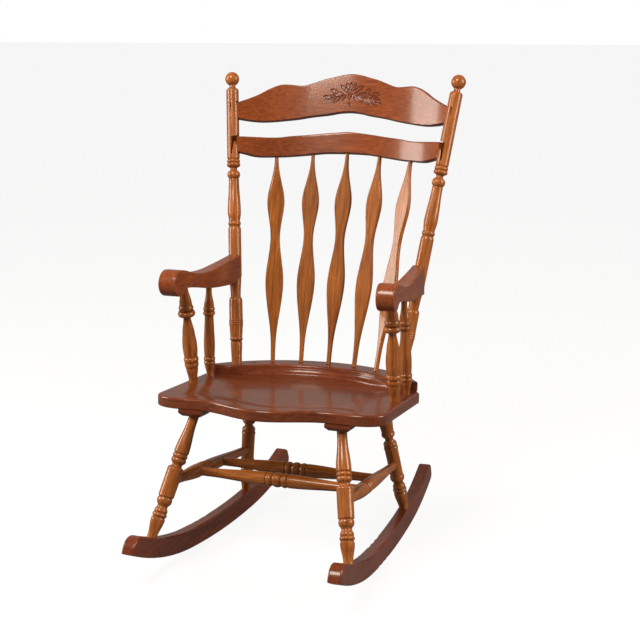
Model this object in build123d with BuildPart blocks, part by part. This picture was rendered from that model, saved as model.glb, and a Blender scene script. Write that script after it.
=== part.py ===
"""Turned Windsor-style rocking chair, modelled as its separate wooden pieces and screws.

Millimetres, +Z up. The sitter faces -Y. The origin is on the floor, under the middle of the
bounding box. The right-hand pieces, as seen from the front, are at +X, and the left-hand ones
are their mirror.
Every joint is a glued one: the entering piece is made first and cut out of the piece that
receives it, so the two always fit.
"""
from build123d import *
import math
import os

os.makedirs("parts", exist_ok=True)

# ---------------------------------------------------------------- driving sizes
# Seat: a plank that drops towards the back, with a raised rail around its rear edge.
SEAT_HEIGHT = 398.6         # top face at the middle of the chair
SEAT_DROP = 0.075           # fall of the seat per unit of depth
SEAT_HALF_WIDTH = 288.0
SEAT_THICKNESS = 27.0
SEAT_LOBE_FRONT = -261.0    # tip of the middle lobe of the front edge
SEAT_NOTCH_X = 165.0
SEAT_NOTCH_FRONT = -212.0
SEAT_KNEE_X = 222.0
SEAT_KNEE_FRONT = -215.0
SEAT_CORNER_REACH = 46.0    # length of side taken up by the rounded front corner
DISH_RADIUS = 188.0
DISH_DEPTH = 8.0
DISH_CENTRE_Y = -30.0

# Rear curve of the seat: rail, spindles and posts share one centre.
CURVE_CENTRE_Y = -66.6
SPINDLE_RADIUS = 297.6
RAIL_OUTER_RADIUS = 327.0
LEDGE_HEIGHT = 23.0
LEDGE_FRONT_Y = 96.0
LEDGE_INNER_RADIUS = 305.0
LEDGE_MIDDLE_Y = 188.0     # front face at the middle of the chair
LEDGE_ROUND = 7.0

# Back: posts lean back and spread, rails bow backwards between them.
POST_FOOT_X = 218.0
POST_SPREAD = 0.1213        # sideways run per unit of height
POST_LEAN = 0.293           # backward run per unit of height
POST_TOP_HEIGHT = 1143.0
RAIL_THICKNESS = 18.0
CREST_BOW = 87.0
CREST_MIDDLE_HEIGHT = 1070.0
LOWER_RAIL_BOW = 94.0
LOWER_RAIL_HEIGHT = 957.0
SPINDLE_TOP_HEIGHT = 926.0
SPINDLE_COUNT = 5
SPINDLE_FOOT_STEP = 14.2    # degrees along the seat curve
SPINDLE_TOP_STEP = 92.0     # along X at the lower rail
SPINDLE_THICKNESS = 11.0
SPINDLE_TENON = 12.0
SPINDLE_TENON_RADIUS = 4.4

# Arms.
ARM_WIDTH = 44.0
ARM_REAR_WIDTH = 32.0
ARM_FRONT_X = 271.0
ARM_SCROLL_Y = -112.0
ARM_SCROLL_HEIGHT = 669.0
ARM_SCROLL_RADIUS = 32.0
ARM_REAR_TOP = 682.0
ARM_REAR_UNDERSIDE = 611.0
ARM_POST_FOOT = (262.6, -31.6)
ARM_POST_HEAD = (264.9, -66.5, 668.0)
ARM_SPINDLE_FOOT = (263.0, 65.6)
ARM_SPINDLE_HEAD = (256.5, 61.5, 632.0)
ARM_SCREW_HEIGHT = 640.0
ARM_SCREW_LENGTH = 60.0

BOX_MIDDLE_Y = 8.2        # middle of the whole chair's depth in the sizes given here

# Undercarriage.
ROCKER_RADIUS = 2000.0      # of the flatter middle of the sole
ROCKER_END_RADIUS = 790.0   # of the sole in front of and behind the middle
ROCKER_HEIGHT = 48.0
ROCKER_THICKNESS = 32.0
ROCKER_FRONT_Y = -434.0
ROCKER_REAR_Y = 434.0
ROCKER_CONTACT_Y = 66.0     # where the rocker touches a level floor
ROCKER_BEND_FRONT_Y = -150.0
ROCKER_BEND_REAR_Y = 200.0
ROCKER_MID_X = 229.5
ROCKER_TOE_IN = 0.05       # the rockers draw together towards the back
ROCKER_NOSE_RADIUS = 34.0
ROCKER_TAIL_RADIUS = 16.0
ROCKER_EDGE = 5.0
FRONT_FOOT_Y = -319.0
REAR_FOOT_Y = 183.0
FRONT_LEG_TOP = (179.4, -175.9)
REAR_LEG_TOP = (173.0, 123.0)
LEG_IN_SEAT = 14.0
LEG_IN_ROCKER = 15.0
BLOCK_SIZE = 62.0
BLOCK_HEIGHT = 16.0
BLOCK_CHAMFER = 8.0
SIDE_STRETCHER_FRONT_HEIGHT = 221.5
SIDE_STRETCHER_REAR_HEIGHT = 174.0
FRONT_CROSS_Y = -129.0
REAR_CROSS_Y = -4.0
POST_TENON = 13.0
ARM_POST_TENON = 16.0
BALL_RADIUS = 18.5

# Screws.
SCREW_HEAD_RADIUS = 4.5
SCREW_HEAD_HEIGHT = 3.0
SCREW_SHANK_RADIUS = 2.2
PLUG_RADIUS = 5.0
PLUG_LENGTH = 6.0
SCREW_SETBACK = 10.0        # from a rocker's underside to the top of a sunk screw head
ROCKER_SCREW_LENGTH = 46.0
LEDGE_SCREW_ANGLE = 38.0
LEDGE_SCREW_SETBACK = 6.0
LEDGE_SCREW_LENGTH = 34.0
BLOCK_SCREW_INSET = 16.0
BLOCK_SCREW_LENGTH = 34.0


# ---------------------------------------------------------------- places worked out
def seat_top(y):
    """Height of the seat's flat rim at depth y."""
    return SEAT_HEIGHT - SEAT_DROP * y


def rocker_x(y):
    return ROCKER_MID_X - ROCKER_TOE_IN * y


def rocker_arcs():
    """The sole's three arcs as (centre's run, centre's height, radius), tangent to each other.

    Runs are measured along the rocker from its contact with the floor: front arc, middle, rear.
    """
    stretch = math.sqrt(1 + ROCKER_TOE_IN**2)
    inward = 1 - ROCKER_END_RADIUS / ROCKER_RADIUS
    arcs = [(0.0, ROCKER_RADIUS, ROCKER_RADIUS)]
    for bend in (ROCKER_BEND_FRONT_Y, ROCKER_BEND_REAR_Y):
        run = (bend - ROCKER_CONTACT_Y) * stretch
        height = ROCKER_RADIUS - math.sqrt(ROCKER_RADIUS**2 - run**2)
        centre_height = height + (ROCKER_RADIUS - height) * (1 - inward)
        arcs.append((run * inward, centre_height, ROCKER_END_RADIUS))
    return arcs[1], arcs[0], arcs[2]


def rocker_sole(y, raised=0.0):
    """Height of the sole at depth y, or of a line that runs a set distance inside it."""
    front, middle, rear = rocker_arcs()
    arc = front if y < ROCKER_BEND_FRONT_Y else rear if y > ROCKER_BEND_REAR_Y else middle
    run = (y - ROCKER_CONTACT_Y) * math.sqrt(1 + ROCKER_TOE_IN**2) - arc[0]
    return arc[1] - math.sqrt((arc[2] - raised) ** 2 - run**2)


def rocker_top(y):
    return rocker_sole(y, ROCKER_HEIGHT)


def point_at_height(low, high, z):
    """Point on the line low-high at height z."""
    return low + (high - low) * ((z - low.Z) / (high.Z - low.Z))


def point_at_depth(a, b, y):
    """Point on the line a-b at depth y."""
    return a + (b - a) * ((y - a.Y) / (b.Y - a.Y))


def bow_radius(half_chord, bow):
    return (half_chord**2 + bow**2) / (2 * bow)


SEAT_PLANE = Plane(origin=(0, 0, SEAT_HEIGHT), x_dir=(1, 0, 0), z_dir=(0, SEAT_DROP, 1))

post_foot_y = CURVE_CENTRE_Y + math.sqrt(SPINDLE_RADIUS**2 - POST_FOOT_X**2)
post_foot = Vector(POST_FOOT_X, post_foot_y, seat_top(post_foot_y))


def post_point(z):
    """Point on the right post's axis at height z."""
    rise = z - post_foot.Z
    return post_foot + Vector(POST_SPREAD * rise, POST_LEAN * rise, rise)


front_foot = Vector(rocker_x(FRONT_FOOT_Y), FRONT_FOOT_Y, rocker_top(FRONT_FOOT_Y))
rear_foot = Vector(rocker_x(REAR_FOOT_Y), REAR_FOOT_Y, rocker_top(REAR_FOOT_Y))
front_leg_top = Vector(*FRONT_LEG_TOP, seat_top(FRONT_LEG_TOP[1]) - SEAT_THICKNESS + LEG_IN_SEAT)
rear_leg_top = Vector(*REAR_LEG_TOP, seat_top(REAR_LEG_TOP[1]) - SEAT_THICKNESS + LEG_IN_SEAT)
front_leg_root = front_foot + (front_foot - front_leg_top).normalized() * LEG_IN_ROCKER
rear_leg_root = rear_foot + (rear_foot - rear_leg_top).normalized() * LEG_IN_ROCKER

stretcher_front = point_at_height(front_foot, front_leg_top, SIDE_STRETCHER_FRONT_HEIGHT)
stretcher_rear = point_at_height(rear_foot, rear_leg_top, SIDE_STRETCHER_REAR_HEIGHT)


arm_post_foot = Vector(*ARM_POST_FOOT, seat_top(ARM_POST_FOOT[1]))
arm_post_tip = Vector(*ARM_POST_HEAD)
arm_post_root = arm_post_foot - (arm_post_tip - arm_post_foot).normalized() * ARM_POST_TENON
arm_spindle_foot = Vector(*ARM_SPINDLE_FOOT, seat_top(ARM_SPINDLE_FOOT[1]))
arm_spindle_tip = Vector(*ARM_SPINDLE_HEAD)
arm_spindle_root = arm_spindle_foot - (arm_spindle_tip - arm_spindle_foot).normalized() * ARM_POST_TENON
block_centre = point_at_height(front_foot, front_leg_top, front_leg_top.Z - LEG_IN_SEAT - BLOCK_HEIGHT / 2)


# ---------------------------------------------------------------- shared shapes
def turned(start, end, start_radius, features):
    """A lathe-turned piece from start to end.

    Each feature is (shape, length, radius after it) or, for an arc, (shape, length, radius
    after it, radius at its middle). Lengths are stretched together to fill the distance.
    """
    along = (end - start).normalized()
    across = Vector(0, 1, 0).cross(along) if abs(along.X) < 0.9 else Vector(0, 0, 1).cross(along)
    stretch = (end - start).length / sum(feature[1] for feature in features)
    with BuildPart() as piece:
        with BuildSketch(Plane(origin=start, x_dir=across, z_dir=across.cross(along))):
            with BuildLine():
                radius, height = start_radius, 0.0
                Line((0, 0), (radius, 0))
                for shape, length, *radii in features:
                    top = height + length * stretch
                    here, there = (radius, height), (radii[0], top)
                    if shape == "line":
                        Line(here, there)
                    elif shape == "arc":
                        ThreePointArc(here, (radii[1], (height + top) / 2), there)
                    else:
                        Spline(here, there, tangents=[(0, 1), (0, 1)])
                    radius, height = radii[0], top
                Line((radius, height), (0, height))
                Line((0, height), (0, 0))
            make_face()
        revolve(axis=Axis(start, along))
    return piece.part


def bead(length, radius, proud):
    """A rounded ring that stands proud of the radius on both its sides."""
    return ("arc", length, radius, radius + proud)


def cut_out(piece, *entering):
    """The piece with mortises for the pieces that enter it."""
    with BuildPart() as cut:
        add(piece)
        for other in entering:
            add(other, mode=Mode.SUBTRACT)
    return cut.part


def mirrored(piece):
    with BuildPart() as other:
        mirror(piece, about=Plane.YZ)
    return other.part


def rod(start, direction, length, radius):
    with BuildPart() as piece:
        with BuildSketch(Plane(origin=start, z_dir=direction)):
            Circle(radius)
        extrude(amount=length)
    return piece.part


def screw(head, direction, length):
    """A wood screw whose head's top is at head and whose point lies along direction."""
    with BuildPart() as piece:
        with BuildSketch(Plane(origin=head, z_dir=direction)):
            Circle(SCREW_HEAD_RADIUS)
        extrude(amount=SCREW_HEAD_HEIGHT)
        with BuildSketch(Plane(origin=head, z_dir=direction)):
            Circle(SCREW_SHANK_RADIUS)
        extrude(amount=length)
    return piece.part


def write(name, piece):
    """Writes a piece with the origin moved under the middle of the chair's box."""
    placed = Pos(0, -BOX_MIDDLE_Y, 0) * piece
    placed.label = name
    export_step(placed, f"parts/{name}.step")


def write_pair(name, piece):
    write(f"right_{name}", piece)
    write(f"left_{name}", mirrored(piece))


def write_group(name, pieces):
    write(name, Compound(children=[solid for piece in pieces for solid in piece.solids()]))


# ---------------------------------------------------------------- turned patterns
def leg_foot_pattern():
    """The lower half of both legs, from the rocker up to the plain barrel."""
    return [
        ("line", LEG_IN_ROCKER, 11.5),
        ("ogee", 38, 16.9),
        ("line", 4, 14.5),
        bead(9, 15.0, 2.6),
        bead(9, 14.0, 2.0),
        ("arc", 10, 15.5, 12.4),
        bead(14, 16.5, 1.8),
    ]


def front_leg():
    features = leg_foot_pattern() + [
        ("line", 3, 19.0),
        ("line", 56, 19.4),
        ("arc", 8, 13.2, 19.2),
        ("arc", 9, 16.0, 12.4),
        bead(10, 15.8, 2.4),
        bead(9, 15.8, 2.2),
        ("line", 3, 18.0),
        ("ogee", 66, 11.9),
        ("line", 46, 11.9),
    ]
    return turned(front_leg_root, front_leg_top, 11.5, features)


def rear_leg():
    features = leg_foot_pattern() + [
        ("line", 3, 16.6),
        ("line", 60, 17.0),
        bead(9, 15.6, 2.4),
        bead(9, 15.0, 2.2),
        ("arc", 14, 15.0, 10.5),
        bead(10, 15.6, 1.6),
        ("ogee", 24, 17.6),
        ("ogee", 46, 11.5),
        ("line", 30, 11.5),
    ]
    return turned(rear_leg_root, rear_leg_top, 11.5, features)


def side_stretcher():
    features = [
        ("line", 20, 11.0),
        ("ogee", 78, 17.2),
        ("arc", 10, 14.0, 16.4),
        bead(9, 14.6, 2.6),
        bead(9, 14.6, 2.6),
        bead(9, 14.0, 2.6),
        ("arc", 10, 16.2, 15.8),
        ("ogee", 150, 10.5),
        ("line", 20, 10.5),
    ]
    return turned(stretcher_front, stretcher_rear, 11.0, features)


def cross_stretcher(y):
    """A stretcher between the two side stretchers, with three rings at its middle."""
    anchor = point_at_depth(stretcher_front, stretcher_rear, y)
    end = Vector(anchor.X - 2, y, anchor.Z)
    half = [
        ("line", 24, 10.8),
        ("ogee", 108, 16.8),
        ("line", 2, 15.0),
        bead(11, 14.8, 2.8),
        ("line", 1, 14.2),
    ]
    back = [
        ("line", 1, 14.8),
        bead(11, 15.0, 2.8),
        ("line", 2, 16.8),
        ("ogee", 108, 10.8),
        ("line", 24, 10.8),
    ]
    middle = [("arc", 16, 14.2, 18.0)]
    return turned(Vector(-end.X, end.Y, end.Z), end, 10.8, half + middle + back)


def back_post():
    """The whole post, from its tenon under the ledge to the ball finial."""
    features = [
        ("line", POST_TENON + 28, 13.4),
        ("ogee", 44, 15.0),
        ("line", 2, 12.8),
        bead(9, 15.4, 1.2),
        ("line", 29, 17.4),
        bead(5, 17.4, 0.9),
        bead(5, 17.4, 0.9),
        bead(5, 17.4, 0.9),
        ("line", 44, 17.2),
        bead(10, 13.0, 3.4),
        ("ogee", 50, 15.4),
        ("arc", 5, 16.6, 16.8),
        ("line", 106, 16.6),
        bead(11, 13.6, 2.6),
        bead(11, 14.4, 2.0),
        ("ogee", 22, 17.2),
        ("ogee", 78, 13.4),
        bead(5, 12.0, 1.6),
        bead(20, 9.6, 7.2),
        ("arc", 9, 15.0, 9.0),
        bead(9, 15.2, 2.4),
        bead(9, 14.8, 2.2),
        ("line", 3, 16.3),
        ("line", 166, 16.3),
        ("arc", 6, 9.2, 15.4),
        ("arc", 10, 8.8, 8.2),
    ]
    ball = post_point(POST_TOP_HEIGHT - BALL_RADIUS)
    neck = post_point(POST_TOP_HEIGHT - 1.75 * BALL_RADIUS)
    body = turned(post_point(post_foot.Z - POST_TENON), neck, 13.4, features)
    with BuildPart() as piece:
        add(body)
        with Locations(ball):
            Sphere(BALL_RADIUS)
    return piece.part


def front_arm_post():
    features = [
        ("line", ARM_POST_TENON, 11.0),
        ("line", 6, 11.0),
        ("ogee", 30, 15.2),
        bead(12, 16.0, 1.4),
        bead(12, 16.2, 2.4),
        ("arc", 52, 15.4, 18.2),
        ("ogee", 44, 9.0),
        bead(13, 15.4, 6.0),
        bead(12, 15.6, 2.6),
        ("ogee", 42, 9.0),
        ("line", ARM_POST_TENON, 9.0),
    ]
    return turned(arm_post_root, arm_post_tip, 11.0, features)


def rear_arm_spindle():
    features = [
        ("line", ARM_POST_TENON, 8.0),
        ("line", 4, 8.0),
        ("ogee", 22, 12.6),
        bead(9, 12.6, 2.0),
        bead(9, 12.8, 2.0),
        ("arc", 58, 12.8, 14.2),
        ("ogee", 40, 11.2),
        bead(10, 12.4, 3.0),
        bead(10, 12.8, 2.0),
        ("ogee", 36, 7.4),
        ("line", ARM_POST_TENON, 7.4),
    ]
    return turned(arm_spindle_root, arm_spindle_tip, 8.0, features)


# ---------------------------------------------------------------- back rails and spindles
def lean_plane(z):
    """Plane square to the back's lean, through the line of the posts at height z."""
    return Plane(origin=(0, post_point(z).Y, z), x_dir=(1, 0, 0), z_dir=(0, POST_LEAN, 1))


def bowed_rail(z, bow, outline_top, outline_bottom):
    """A plank bent to a bow between the posts and cut to an outline seen from the front.

    Each outline is the right half of an edge: height at the middle, then (x, height) turns.
    """
    half_chord = post_point(z).X
    lean = math.cos(math.atan(POST_LEAN))
    radius = bow_radius(half_chord, bow) * lean
    outer = radius + RAIL_THICKNESS / 2
    with BuildPart() as piece:
        with BuildSketch(lean_plane(z)):
            with Locations((0, bow * lean - radius)):
                Circle(outer)
                Circle(radius - RAIL_THICKNESS / 2, mode=Mode.SUBTRACT)
            with Locations((0, outer - RAIL_THICKNESS)):
                Rectangle(2 * outer, 2 * outer, mode=Mode.INTERSECT)
        extrude(amount=half_chord, both=True)
        with BuildSketch(Plane.XZ):
            with BuildLine():
                top = Spline(outline_top, tangents=[(1, 0), (1, -0.35)])
                bottom = Spline(outline_bottom, tangents=[(1, 0), (1, 0)])
                Line(top @ 1, bottom @ 1)
                Line(top @ 0, bottom @ 0)
            make_face()
            mirror(about=Plane.YZ)
        extrude(amount=-2 * POST_TOP_HEIGHT, mode=Mode.INTERSECT)
    return piece.part


def crest_rail():
    top = [(0, 1134.5), (78, 1119), (131, 1104.5), (187, 1107.5), (240, 1084)]
    bottom = [(0, 1037), (104, 1024), (195, 1012.5)]
    top.append((post_point(1068).X, 1065))
    bottom.append((post_point(1020).X, 1022))
    return bowed_rail(CREST_MIDDLE_HEIGHT, CREST_BOW, top, bottom)


def lower_back_rail():
    top = [(0, 987), (104, 979), (182, 972.5), (post_point(980).X, 980)]
    bottom = [(0, 932), (104, 926), (187, 922), (post_point(935).X, 937)]
    return bowed_rail(LOWER_RAIL_HEIGHT, LOWER_RAIL_BOW, top, bottom)


def spindle_ends(step):
    """Where a spindle leaves the ledge and where it enters the lower rail."""
    angle = math.radians(step * SPINDLE_FOOT_STEP)
    foot_y = CURVE_CENTRE_Y + SPINDLE_RADIUS * math.cos(angle)
    foot = Vector(SPINDLE_RADIUS * math.sin(angle), foot_y, seat_top(foot_y) + LEDGE_HEIGHT)
    x = step * SPINDLE_TOP_STEP
    radius = bow_radius(post_point(LOWER_RAIL_HEIGHT).X, LOWER_RAIL_BOW)
    bow = LOWER_RAIL_BOW - radius + math.sqrt(radius**2 - x**2)
    head = Vector(x, post_point(SPINDLE_TOP_HEIGHT).Y + bow, SPINDLE_TOP_HEIGHT)
    return foot, head


def arrow_spindle(step):
    """A flat spindle with two leaf-shaped swellings and round tenons at both ends."""
    foot, head = spindle_ends(step)
    along = (head - foot).normalized()
    length = (head - foot).length
    turn = math.radians(step * SPINDLE_FOOT_STEP)
    outward = Vector(math.sin(turn), math.cos(turn), 0)
    face = (outward - along * outward.dot(along)).normalized()
    plane = Plane(origin=foot, x_dir=along.cross(face), z_dir=face)
    points = [(5.5, 0), (7.5, 0.13), (23, 0.41), (12.5, 0.62), (22.5, 0.775), (4.5, 1)]
    with BuildPart() as piece:
        with BuildSketch(plane):
            with BuildLine():
                turns = [(x, share * length) for x, share in points]
                side = Spline(turns, tangents=[(0, 1), (0, 1)])
                Line(side @ 0, (0, 0))
                Line(side @ 1, (0, length))
                Line((0, 0), (0, length))
            make_face()
            mirror(about=Plane.YZ)
        extrude(amount=SPINDLE_THICKNESS / 2, both=True)
        edges = piece.edges().filter_by(GeomType.BSPLINE)
        fillet(edges, SPINDLE_THICKNESS / 2 - 2)
    with BuildPart() as whole:
        add(piece.part)
        add(rod(foot - along * SPINDLE_TENON, along, 2 * SPINDLE_TENON, SPINDLE_TENON_RADIUS))
        add(rod(head + along * SPINDLE_TENON, -along, 2 * SPINDLE_TENON, SPINDLE_TENON_RADIUS))
    return whole.part


# ---------------------------------------------------------------- arms
def armrest():
    """An arm that rises from the post to a rolled front end."""
    rear = post_point(ARM_SCREW_HEIGHT)
    run = rear.Y - ARM_SCROLL_Y
    toe = math.atan((ARM_FRONT_X - rear.X) / run)
    origin = Vector(ARM_FRONT_X, ARM_SCROLL_Y, 0)
    ahead = Vector(math.sin(toe), -math.cos(toe), 0)
    length = run / math.cos(toe)
    high, low = ARM_SCROLL_HEIGHT, ARM_SCROLL_RADIUS
    with BuildPart() as piece:
        with BuildSketch(Plane(origin=origin, x_dir=-ahead, z_dir=(-ahead).cross(Vector(0, 0, 1)))):
            with BuildLine():
                crown = (0, high + low)
                heel = (14, high - low + 3)
                nose = ThreePointArc(crown, (-low, high), heel)
                top = [crown, (52, high + 19), (110, high + 6), (170, high + 3), (250, high + 8)]
                bottom = [nose @ 1, (50, high - 20), (137, high - 38), (246, high - 53)]
                top_end = (length, ARM_REAR_TOP)
                bottom_end = (length, ARM_REAR_UNDERSIDE)
                Spline(top + [top_end], tangents=[(1, 0), (1, 0.1)])
                Spline(bottom + [bottom_end])
                Line(top_end, bottom_end)
            make_face()
        extrude(amount=ARM_WIDTH, both=True)
        with BuildSketch(Plane(origin=origin, x_dir=-ahead, z_dir=(0, 0, 1))):
            with BuildLine():
                Polyline(
                    (-2 * low, ARM_WIDTH / 2),
                    (40, ARM_WIDTH / 2),
                    (length, ARM_REAR_WIDTH / 2),
                    (length, -ARM_REAR_WIDTH / 2),
                    (40, -ARM_WIDTH / 2),
                    (-2 * low, -ARM_WIDTH / 2),
                    close=True,
                )
            make_face()
        extrude(amount=2 * high, mode=Mode.INTERSECT)
    return piece.part


# ---------------------------------------------------------------- seat
def seat_plank():
    with BuildPart() as piece:
        with BuildSketch(SEAT_PLANE):
            with BuildLine():
                lobe = (0, SEAT_LOBE_FRONT)
                notch = (SEAT_NOTCH_X, SEAT_NOTCH_FRONT)
                knee = (SEAT_KNEE_X, SEAT_KNEE_FRONT)
                side_start = (SEAT_HALF_WIDTH, SEAT_KNEE_FRONT + SEAT_CORNER_REACH)
                side_end_y = CURVE_CENTRE_Y + math.sqrt(RAIL_OUTER_RADIUS**2 - SEAT_HALF_WIDTH**2)
                back = (0, CURVE_CENTRE_Y + RAIL_OUTER_RADIUS)
                Spline(lobe, notch, tangents=[(1, 0), (1, 0)])
                Spline(notch, knee, tangents=[(1, 0), (1, 0)])
                Spline(knee, side_start, tangents=[(1, 0), (0, 1)])
                Line(side_start, (SEAT_HALF_WIDTH, side_end_y))
                RadiusArc((SEAT_HALF_WIDTH, side_end_y), back, -RAIL_OUTER_RADIUS)
                Line(back, lobe)
            make_face()
            mirror(about=Plane.YZ)
        extrude(amount=-SEAT_THICKNESS)
        sphere_radius = (DISH_RADIUS**2 + DISH_DEPTH**2) / (2 * DISH_DEPTH)
        lift = sphere_radius - DISH_DEPTH
        with Locations(SEAT_PLANE.location * Location((0, DISH_CENTRE_Y, lift))):
            Sphere(sphere_radius, mode=Mode.SUBTRACT)
    return piece.part


def seat_ledge():
    """The raised rail around the seat's rear edge, into which posts and spindles are set."""
    with BuildPart() as piece:
        with BuildSketch(SEAT_PLANE):
            with Locations((0, CURVE_CENTRE_Y)):
                Circle(RAIL_OUTER_RADIUS)
            with Locations((0, LEDGE_MIDDLE_Y - LEDGE_INNER_RADIUS)):
                Circle(LEDGE_INNER_RADIUS, mode=Mode.SUBTRACT)
            with Locations((0, LEDGE_FRONT_Y + RAIL_OUTER_RADIUS)):
                Rectangle(2 * SEAT_HALF_WIDTH, 2 * RAIL_OUTER_RADIUS, mode=Mode.INTERSECT)
        extrude(amount=LEDGE_HEIGHT)
        inner = piece.faces().filter_by(GeomType.CYLINDER).sort_by(lambda face: face.radius)[0]
        top = piece.faces().sort_by(Axis(SEAT_PLANE.origin, SEAT_PLANE.z_dir))[-1]
        fillet([edge for edge in top.edges() if edge in inner.edges()], LEDGE_ROUND)
    return piece.part


def leg_block():
    """The square block that backs a front leg's joint under the seat."""
    with BuildPart() as piece:
        with BuildSketch(SEAT_PLANE.offset(-SEAT_THICKNESS)):
            with Locations((block_centre.X, block_centre.Y)):
                Rectangle(BLOCK_SIZE, BLOCK_SIZE)
        extrude(amount=-BLOCK_HEIGHT)
        chamfer(piece.faces().sort_by(Axis.Z)[0].edges(), BLOCK_CHAMFER)
    return piece.part


# ---------------------------------------------------------------- rockers
def rocker():
    """A plank on edge, cut to three tangent arcs, with a rounded nose and tail."""
    toe = math.atan(ROCKER_TOE_IN)
    plane = Plane(
        origin=(rocker_x(ROCKER_CONTACT_Y), ROCKER_CONTACT_Y, 0),
        x_dir=(-math.sin(toe), math.cos(toe), 0),
        z_dir=(math.cos(toe), math.sin(toe), 0),
    )
    depths = (ROCKER_FRONT_Y, ROCKER_BEND_FRONT_Y, ROCKER_BEND_REAR_Y, ROCKER_REAR_Y)
    runs = [(y - ROCKER_CONTACT_Y) / math.cos(toe) for y in depths]
    with BuildPart() as piece:
        with BuildSketch(plane):
            with BuildLine():
                ends = {0.0: [], ROCKER_HEIGHT: []}
                for raised in ends:
                    for (x, z, radius), start, stop in zip(rocker_arcs(), runs, runs[1:]):
                        first = math.degrees(math.asin((start - x) / radius)) - 90
                        last = math.degrees(math.asin((stop - x) / radius)) - 90
                        arc = CenterArc((x, z), radius - raised, first, last - first)
                        ends[raised] += [arc @ 0, arc @ 1]
                Line(ends[0.0][0], ends[ROCKER_HEIGHT][0])
                Line(ends[0.0][-1], ends[ROCKER_HEIGHT][-1])
            make_face()
            fillet(vertices().sort_by(Axis.X)[:2].sort_by(Axis.Y)[-1], ROCKER_NOSE_RADIUS)
            fillet(vertices().sort_by(Axis.X)[-2:], ROCKER_TAIL_RADIUS)
        extrude(amount=ROCKER_THICKNESS / 2, both=True)
        arcs = piece.edges().filter_by(GeomType.CIRCLE)
        crowns = [arc for arc in arcs if min(
            abs(arc.radius - ROCKER_RADIUS + ROCKER_HEIGHT),
            abs(arc.radius - ROCKER_END_RADIUS + ROCKER_HEIGHT),
        ) < 1]
        fillet(crowns, ROCKER_EDGE)
    return piece.part


# ---------------------------------------------------------------- screws
def rocker_fixing(foot, leg_top):
    """Screw, plug and open bore that hold one leg from beneath its rocker."""
    up = (leg_top - foot).normalized()
    fall = rocker_sole(foot.Y + 1) - rocker_sole(foot.Y - 1)
    normal = Vector(0, -fall, 2).normalized()
    below = foot - up * (ROCKER_HEIGHT / up.dot(normal))
    head = below + up * SCREW_SETBACK
    plug = rod(head, -up, PLUG_LENGTH, PLUG_RADIUS)
    bore = rod(head - up * PLUG_LENGTH, -up, 2 * SCREW_SETBACK, PLUG_RADIUS)
    return screw(head, up, ROCKER_SCREW_LENGTH), plug, bore


def ledge_fixing():
    angle = math.radians(LEDGE_SCREW_ANGLE)
    spot = (SPINDLE_RADIUS * math.sin(angle), CURVE_CENTRE_Y + SPINDLE_RADIUS * math.cos(angle))
    surface = SEAT_PLANE.from_local_coords(Vector(*spot, LEDGE_HEIGHT))
    down = -SEAT_PLANE.z_dir
    head = surface + down * LEDGE_SCREW_SETBACK
    bore = rod(head, -down, 2 * LEDGE_SCREW_SETBACK, SCREW_HEAD_RADIUS)
    return screw(head, down, LEDGE_SCREW_LENGTH), bore


def block_fixings():
    up = SEAT_PLANE.z_dir
    depth = -SEAT_THICKNESS - BLOCK_HEIGHT
    inset = BLOCK_SIZE / 2 - BLOCK_SCREW_INSET
    spots = [(block_centre.X + turn * inset, block_centre.Y - turn * inset) for turn in (-1, 1)]
    heads = [SEAT_PLANE.from_local_coords(Vector(*spot, depth)) for spot in spots]
    return [screw(head, up, BLOCK_SCREW_LENGTH) for head in heads]


def arm_fixing():
    """Screw through the back of the post into the end of the arm."""
    start = post_point(ARM_SCREW_HEIGHT)
    ahead = Vector(ARM_FRONT_X - start.X, ARM_SCROLL_Y - start.Y, 0).normalized()
    head = start - ahead * SCREW_SETBACK
    bore = rod(head, -ahead, 3 * SCREW_SETBACK, SCREW_HEAD_RADIUS)
    return screw(head, ahead, ARM_SCREW_LENGTH), bore


# ---------------------------------------------------------------- assembly
front_screw, front_plug, front_bore = rocker_fixing(front_foot, front_leg_top)
rear_screw, rear_plug, rear_bore = rocker_fixing(rear_foot, rear_leg_top)
ledge_screw, ledge_bore = ledge_fixing()
block_screws = block_fixings()
arm_screw, arm_bore = arm_fixing()

cross_stretchers = {"front_cross_stretcher": FRONT_CROSS_Y, "rear_cross_stretcher": REAR_CROSS_Y}
cross_pieces = {name: cross_stretcher(y) for name, y in cross_stretchers.items()}
for name, piece in cross_pieces.items():
    write(name, piece)

side_piece = cut_out(side_stretcher(), *cross_pieces.values())
write_pair("side_stretcher", side_piece)

front_piece = cut_out(front_leg(), side_piece, front_screw)
rear_piece = cut_out(rear_leg(), side_piece, rear_screw)
write_pair("front_leg", front_piece)
write_pair("rear_leg", rear_piece)

in_rocker = [front_piece, front_screw, front_plug, front_bore]
in_rocker += [rear_piece, rear_screw, rear_plug, rear_bore]
write_pair("rocker", cut_out(rocker(), *in_rocker))
write_pair("front_leg_block", cut_out(leg_block(), front_piece, *block_screws))

crest = crest_rail()
lower_rail = lower_back_rail()
post_piece = cut_out(back_post(), crest, lower_rail, arm_screw, arm_bore)
write_pair("back_post", post_piece)
write("crest_rail", crest)

spindles = [arrow_spindle(step - SPINDLE_COUNT // 2) for step in range(SPINDLE_COUNT)]
for number, piece in enumerate(spindles, start=1):
    write(f"arrow_spindle_{number}", piece)
write("lower_back_rail", cut_out(lower_rail, *spindles))

arm_post_piece = front_arm_post()
arm_spindle_piece = rear_arm_spindle()
write_pair("front_arm_post", arm_post_piece)
write_pair("rear_arm_spindle", arm_spindle_piece)
write_pair("armrest", cut_out(armrest(), back_post(), arm_post_piece, arm_spindle_piece, arm_screw))

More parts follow.
